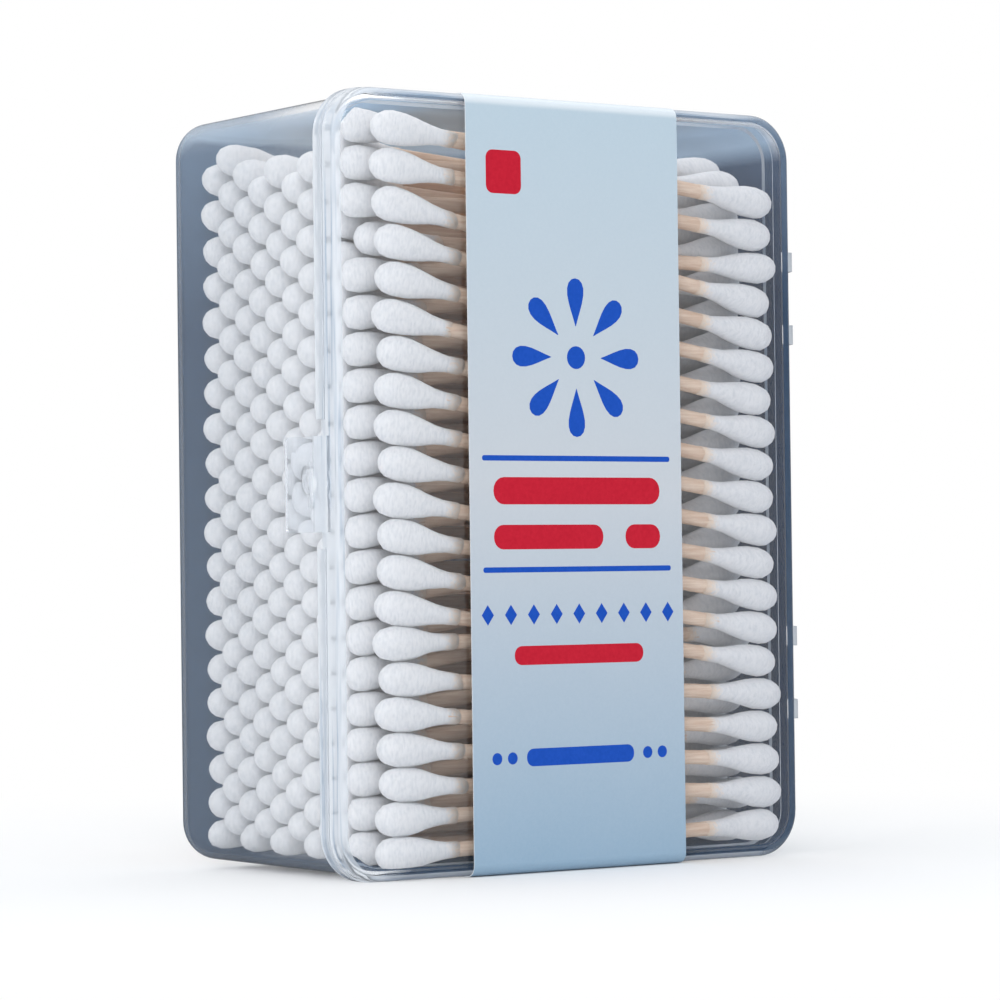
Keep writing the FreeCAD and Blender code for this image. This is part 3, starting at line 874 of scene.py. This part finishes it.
class SWABBOX_OT_sticks(bpy.types.Operator):
    """Wooden sticks of all the swabs."""

    bl_idname = "swab_box.sticks"
    bl_label = "Wooden Sticks"

    def execute(self, context):
        settings = context.scene.swab_sizes
        ends = all_stick_ends()
        if not ends:
            raise RuntimeError("the packed model has no sticks")
        seeds = bpy.data.meshes.new("stick_seeds")
        points = [point for pair in ends for point in pair]
        seeds.from_pydata(points, [(2 * i, 2 * i + 1) for i in range(len(ends))], [])
        values = {"Radius": settings.stick_radius, "Sides": STICK_SIDES, "Seed": STICK_SEED,
                  "Material": wood_material()}
        piece = grown_piece("wooden_sticks", seeds, stick_tree(), values)
        finish_piece(piece, TRAY_BODY, "wood_stick", *STICK_NODES)
        return {"FINISHED"}


class SWABBOX_OT_cotton(bpy.types.Operator):
    """Wound cotton heads on both ends of all the swabs."""

    bl_idname = "swab_box.cotton"
    bl_label = "Cotton Heads"

    def execute(self, context):
        settings = context.scene.swab_sizes
        tips, ways = [], []
        for left, right in all_stick_ends():
            way = (right - left).normalized()
            tips += [left - way * settings.cotton_over_stick, right + way * settings.cotton_over_stick]
            ways += [way, -way]
        seeds = bpy.data.meshes.new("head_seeds")
        seeds.from_pydata(tips, [], [])
        swells = [(1.0, 1.0, settings.left_swell), (1.0, 1.0, settings.right_swell)] * (len(tips) // 2)
        for name, vectors in (("way", ways), ("swell", swells)):
            attribute = seeds.attributes.new(name, "FLOAT_VECTOR", "POINT")
            attribute.data.foreach_set("vector", [c for vector in vectors for c in vector])
        template = head_template(settings)
        values = {"Head": template, "Lumps": settings.lumps, "Ragged End": settings.ragged_end,
                  "Head Length": settings.head_length, "Seed": HEAD_SEED,
                  "Material": cotton_material()}
        piece = grown_piece("cotton_heads", seeds, cotton_tree(), values)
        bpy.data.objects.remove(template)
        finish_piece(piece, TRAY_BODY, "cotton", *COTTON_NODES)
        return {"FINISHED"}


def print_field(work, outline, y, height):
    """Raised flat field of print inside an outline of (x, z) points on the label's front."""
    back = [work.verts.new((x, y, z)) for x, z in outline]
    front = [work.verts.new((x, y - height, z)) for x, z in outline]
    count = len(outline)
    work.faces.new(front)
    work.faces.new(list(reversed(back)))
    for i in range(count):
        j = (i + 1) % count
        work.faces.new((back[i], back[j], front[j], front[i]))


def rounded_bar(x, z, width, height, corner, steps=5):
    """Outline of a bar with rounded corners, about its middle."""
    points = []
    for sx, sz, start in ((1, 1, 0), (-1, 1, 90), (-1, -1, 180), (1, -1, 270)):
        cx, cz = x + sx * (width / 2 - corner), z + sz * (height / 2 - corner)
        for i in range(steps + 1):
            a = math.radians(start + 90 * i / steps)
            points.append((cx + corner * math.cos(a), cz + corner * math.sin(a)))
    return points


def disc(x, z, radius, steps=24):
    """Outline of a disc."""
    turns = [2 * math.pi * i / steps for i in range(steps)]
    return [(x + radius * math.cos(a), z + radius * math.sin(a)) for a in turns]


def drop_outline(steps=20):
    """Outline of a drop that points away from the origin."""
    points = []
    for i in range(steps):
        a = 2 * math.pi * i / steps
        width = 2.3 * MM * (0.55 + 0.45 * math.cos(a))
        points.append((width * math.sin(a), (8.2 + 3.6 * math.cos(a)) * MM))
    return points


def turned(outline, x, z, degrees):
    """Outline moved to (x, z) and turned about it."""
    a = math.radians(degrees)
    c, s = math.cos(a), math.sin(a)
    return [(x + px * c - pz * s, z + px * s + pz * c) for px, pz in outline]


class SWABBOX_OT_print(bpy.types.Operator):
    """Plain printed fields and bands of the label, in blue and red ink."""

    bl_idname = "swab_box.print"
    bl_label = "Label Print"

    def execute(self, context):
        settings = context.scene.swab_label
        middle = (LABEL_LOW.x + LABEL_HIGH.x) / 2
        foot = LABEL_LOW.z
        y = LABEL_LOW.y + PRINT_SUNK

        def at(x, z):
            return middle + x * MM, foot + z * MM

        def bar(x, z, width, height, corner):
            return rounded_bar(*at(x, z), width * MM, height * MM, corner * MM)

        drop = drop_outline()
        blue = [turned(drop, *at(0, FLOWER_AT), 45 * i) for i in range(8)]
        blue += [disc(*at(0, FLOWER_AT), 1.7 * MM)]
        lozenge = [(0, 1.5 * MM), (-1.1 * MM, 0), (0, -1.5 * MM), (1.1 * MM, 0)]
        blue += [turned(lozenge, *at(4.2 * i, LOZENGES_AT), 0) for i in range(-4, 5)]
        blue += [disc(*at(x, DOTS_AT), 0.9 * MM, 16) for x in (-12.6, -15.4, 12.6, 15.4)]
        blue += [bar(*sizes) for sizes in BLUE_BARS]
        red = [bar(*sizes) for sizes in RED_BARS]
        for name, fields, ink in (("print_blue", blue, settings.blue), ("print_red", red, settings.red)):
            work = bmesh.new()
            for outline in fields:
                print_field(work, outline, y, settings.ink_height)
            bmesh.ops.recalc_face_normals(work, faces=work.faces)
            mesh = bpy.data.meshes.new(name)
            work.to_mesh(mesh)
            work.free()
            mesh.materials.append(ink_material(name + "_ink", tuple(ink)))
            finish_piece(link_object(name, mesh), LID_BODY, "label_paper")
        return {"FINISHED"}


def floor_material(settings):
    """Plain pale floor that keeps the shadow near the box and fades to white further out."""
    material, tree = new_material("floor", settings.floor)
    away = add_node(tree, "ShaderNodeVectorMath", {0: object_place(tree)}, operation="LENGTH")
    fade = remap(tree, away.outputs["Value"], SHADOW_NEAR, SHADOW_FAR, smooth=True)
    path = add_node(tree, "ShaderNodeLightPath").outputs
    seen = larger(tree, path["Is Camera Ray"], path["Is Transmission Ray"])
    mirrored = maths(tree, "SUBTRACT", path["Is Glossy Ray"], path["Is Transmission Ray"], clamp=True)
    white = larger(tree, times(tree, fade, seen), mirrored)
    level = remap(tree, mirrored, 0.0, 1.0, 1.0, MIRRORED_LIGHT)
    paint = principled(tree, {
        "Base Color": tuple(settings.floor), "Roughness": 0.9, "Specular IOR Level": 0.1})
    glow = add_node(tree, "ShaderNodeEmission", {"Color": (1.0, 1.0, 1.0), "Strength": level}).outputs[0]
    close_material(tree, mix_shader(tree, white, paint, glow))
    return material


def add_floor(settings):
    """Floor under the box."""
    mesh = bpy.data.meshes.new("floor")
    half = settings.floor_size / 2
    corners = [(-half, -half, 0), (half, -half, 0), (half, half, 0), (-half, half, 0)]
    mesh.from_pydata(corners, [], [(0, 1, 2, 3)])
    mesh.materials.append(floor_material(settings))
    link_object("floor", mesh)


def add_world():
    """Pale world: white to the camera and through the plastic; reflections see white only high up."""
    world = bpy.data.worlds.new("studio")
    bpy.context.scene.world = world
    world.use_nodes = True
    tree = world.node_tree
    tree.nodes.clear()
    path = add_node(tree, "ShaderNodeLightPath").outputs
    way = add_node(tree, "ShaderNodeTexCoord").outputs["Generated"]
    gloss = times(tree, path["Is Glossy Ray"], remap(tree, part_of(tree, way, 2), 0.15, 0.75))
    seen = larger(tree, path["Is Camera Ray"], path["Is Transmission Ray"])
    seen = larger(tree, seen, gloss)
    level = remap(tree, path["Is Glossy Ray"], 0.0, 1.0, SOFT_LIGHT, MIRRORED_LIGHT)
    soft = add_node(tree, "ShaderNodeBackground", {"Color": (0.965, 0.98, 1.0), "Strength": level})
    white = add_node(tree, "ShaderNodeBackground", {"Color": (1.0, 1.0, 1.0), "Strength": 1.0})
    mixed = mix_shader(tree, seen, soft.outputs[0], white.outputs[0])
    add_node(tree, "ShaderNodeOutputWorld", {"Surface": mixed})


def add_lamp(name, place, size, power):
    """Soft square lamp aimed at the box."""
    lamp = bpy.data.lights.new(name, "AREA")
    lamp.shape = "SQUARE"
    lamp.size = size
    lamp.energy = power
    made = bpy.data.objects.new(name, lamp)
    made.location = place
    made.rotation_mode = "QUATERNION"
    made.rotation_quaternion = (Vector(LAMP_TARGET) - Vector(place)).to_track_quat("-Z", "Y")
    bpy.context.scene.collection.objects.link(made)


def add_camera(settings):
    """Camera at the photograph's place and angle."""
    heading, pitch, roll = settings.camera_heading, settings.camera_pitch, settings.camera_roll
    level = math.cos(pitch)
    ahead = Vector((math.sin(heading) * level, math.cos(heading) * level, math.sin(pitch)))
    right = ahead.cross(Vector((0, 0, 1))).normalized()
    up = right.cross(ahead)
    turned_right = right * math.cos(roll) + up * math.sin(roll)
    turned_up = up * math.cos(roll) - right * math.sin(roll)
    data = bpy.data.cameras.new("camera")
    data.sensor_width = 36.0
    data.lens = settings.lens
    data.clip_start = 0.01
    made = bpy.data.objects.new("camera", data)
    matrix = Matrix((turned_right, turned_up, -ahead)).transposed().to_4x4()
    matrix.translation = settings.camera_place
    made.matrix_world = matrix
    bpy.context.scene.collection.objects.link(made)
    bpy.context.scene.camera = made


class SWABBOX_OT_stage(bpy.types.Operator):
    """Floor, soft studio light and camera."""

    bl_idname = "swab_box.stage"
    bl_label = "Stage"

    def execute(self, context):
        settings = context.scene.swab_stage
        context.scene.view_settings.view_transform = "Standard"
        add_floor(settings)
        add_world()
        for lamp in LAMPS:
            add_lamp(*lamp)
        add_camera(settings)
        return {"FINISHED"}


class SWABBOX_PT_panel(bpy.types.Panel):
    """Lists the pieces of the swab box."""

    bl_idname = "SWABBOX_PT_panel"
    bl_label = "Swab Box"
    bl_space_type = "VIEW_3D"
    bl_region_type = "UI"
    bl_category = "Swab Box"

    def draw(self, context):
        for operator in OPERATORS:
            self.layout.operator(operator.bl_idname)
        for group in SETTINGS:
            box = self.layout.box()
            settings = getattr(context.scene, group)
            for key in settings.bl_rna.properties.keys():
                if key not in ("rna_type", "name"):
                    box.prop(settings, key)


SETTINGS = {
    "swab_sizes": SwabSettings,
    "swab_plastic": PlasticSettings,
    "swab_label": LabelSettings,
    "swab_stage": StageSettings,
}
OPERATORS = (
    SWABBOX_OT_clear_shells,
    SWABBOX_OT_label,
    SWABBOX_OT_print,
    SWABBOX_OT_sticks,
    SWABBOX_OT_cotton,
    SWABBOX_OT_stage,
)


def register():
    for name, settings in SETTINGS.items():
        bpy.utils.register_class(settings)
        setattr(bpy.types.Scene, name, bpy.props.PointerProperty(type=settings))
    for kind in (*OPERATORS, SWABBOX_PT_panel):
        bpy.utils.register_class(kind)


def unregister():
    for kind in (SWABBOX_PT_panel, *reversed(OPERATORS)):
        bpy.utils.unregister_class(kind)
    for name, settings in SETTINGS.items():
        delattr(bpy.types.Scene, name)
        bpy.utils.unregister_class(settings)


def main():
    register()
    bpy.ops.swab_box.clear_shells()
    bpy.ops.swab_box.label()
    bpy.ops.swab_box.print()
    bpy.ops.swab_box.sticks()
    bpy.ops.swab_box.cotton()
    bpy.ops.swab_box.stage()


if __name__ == "__main__":
    main()
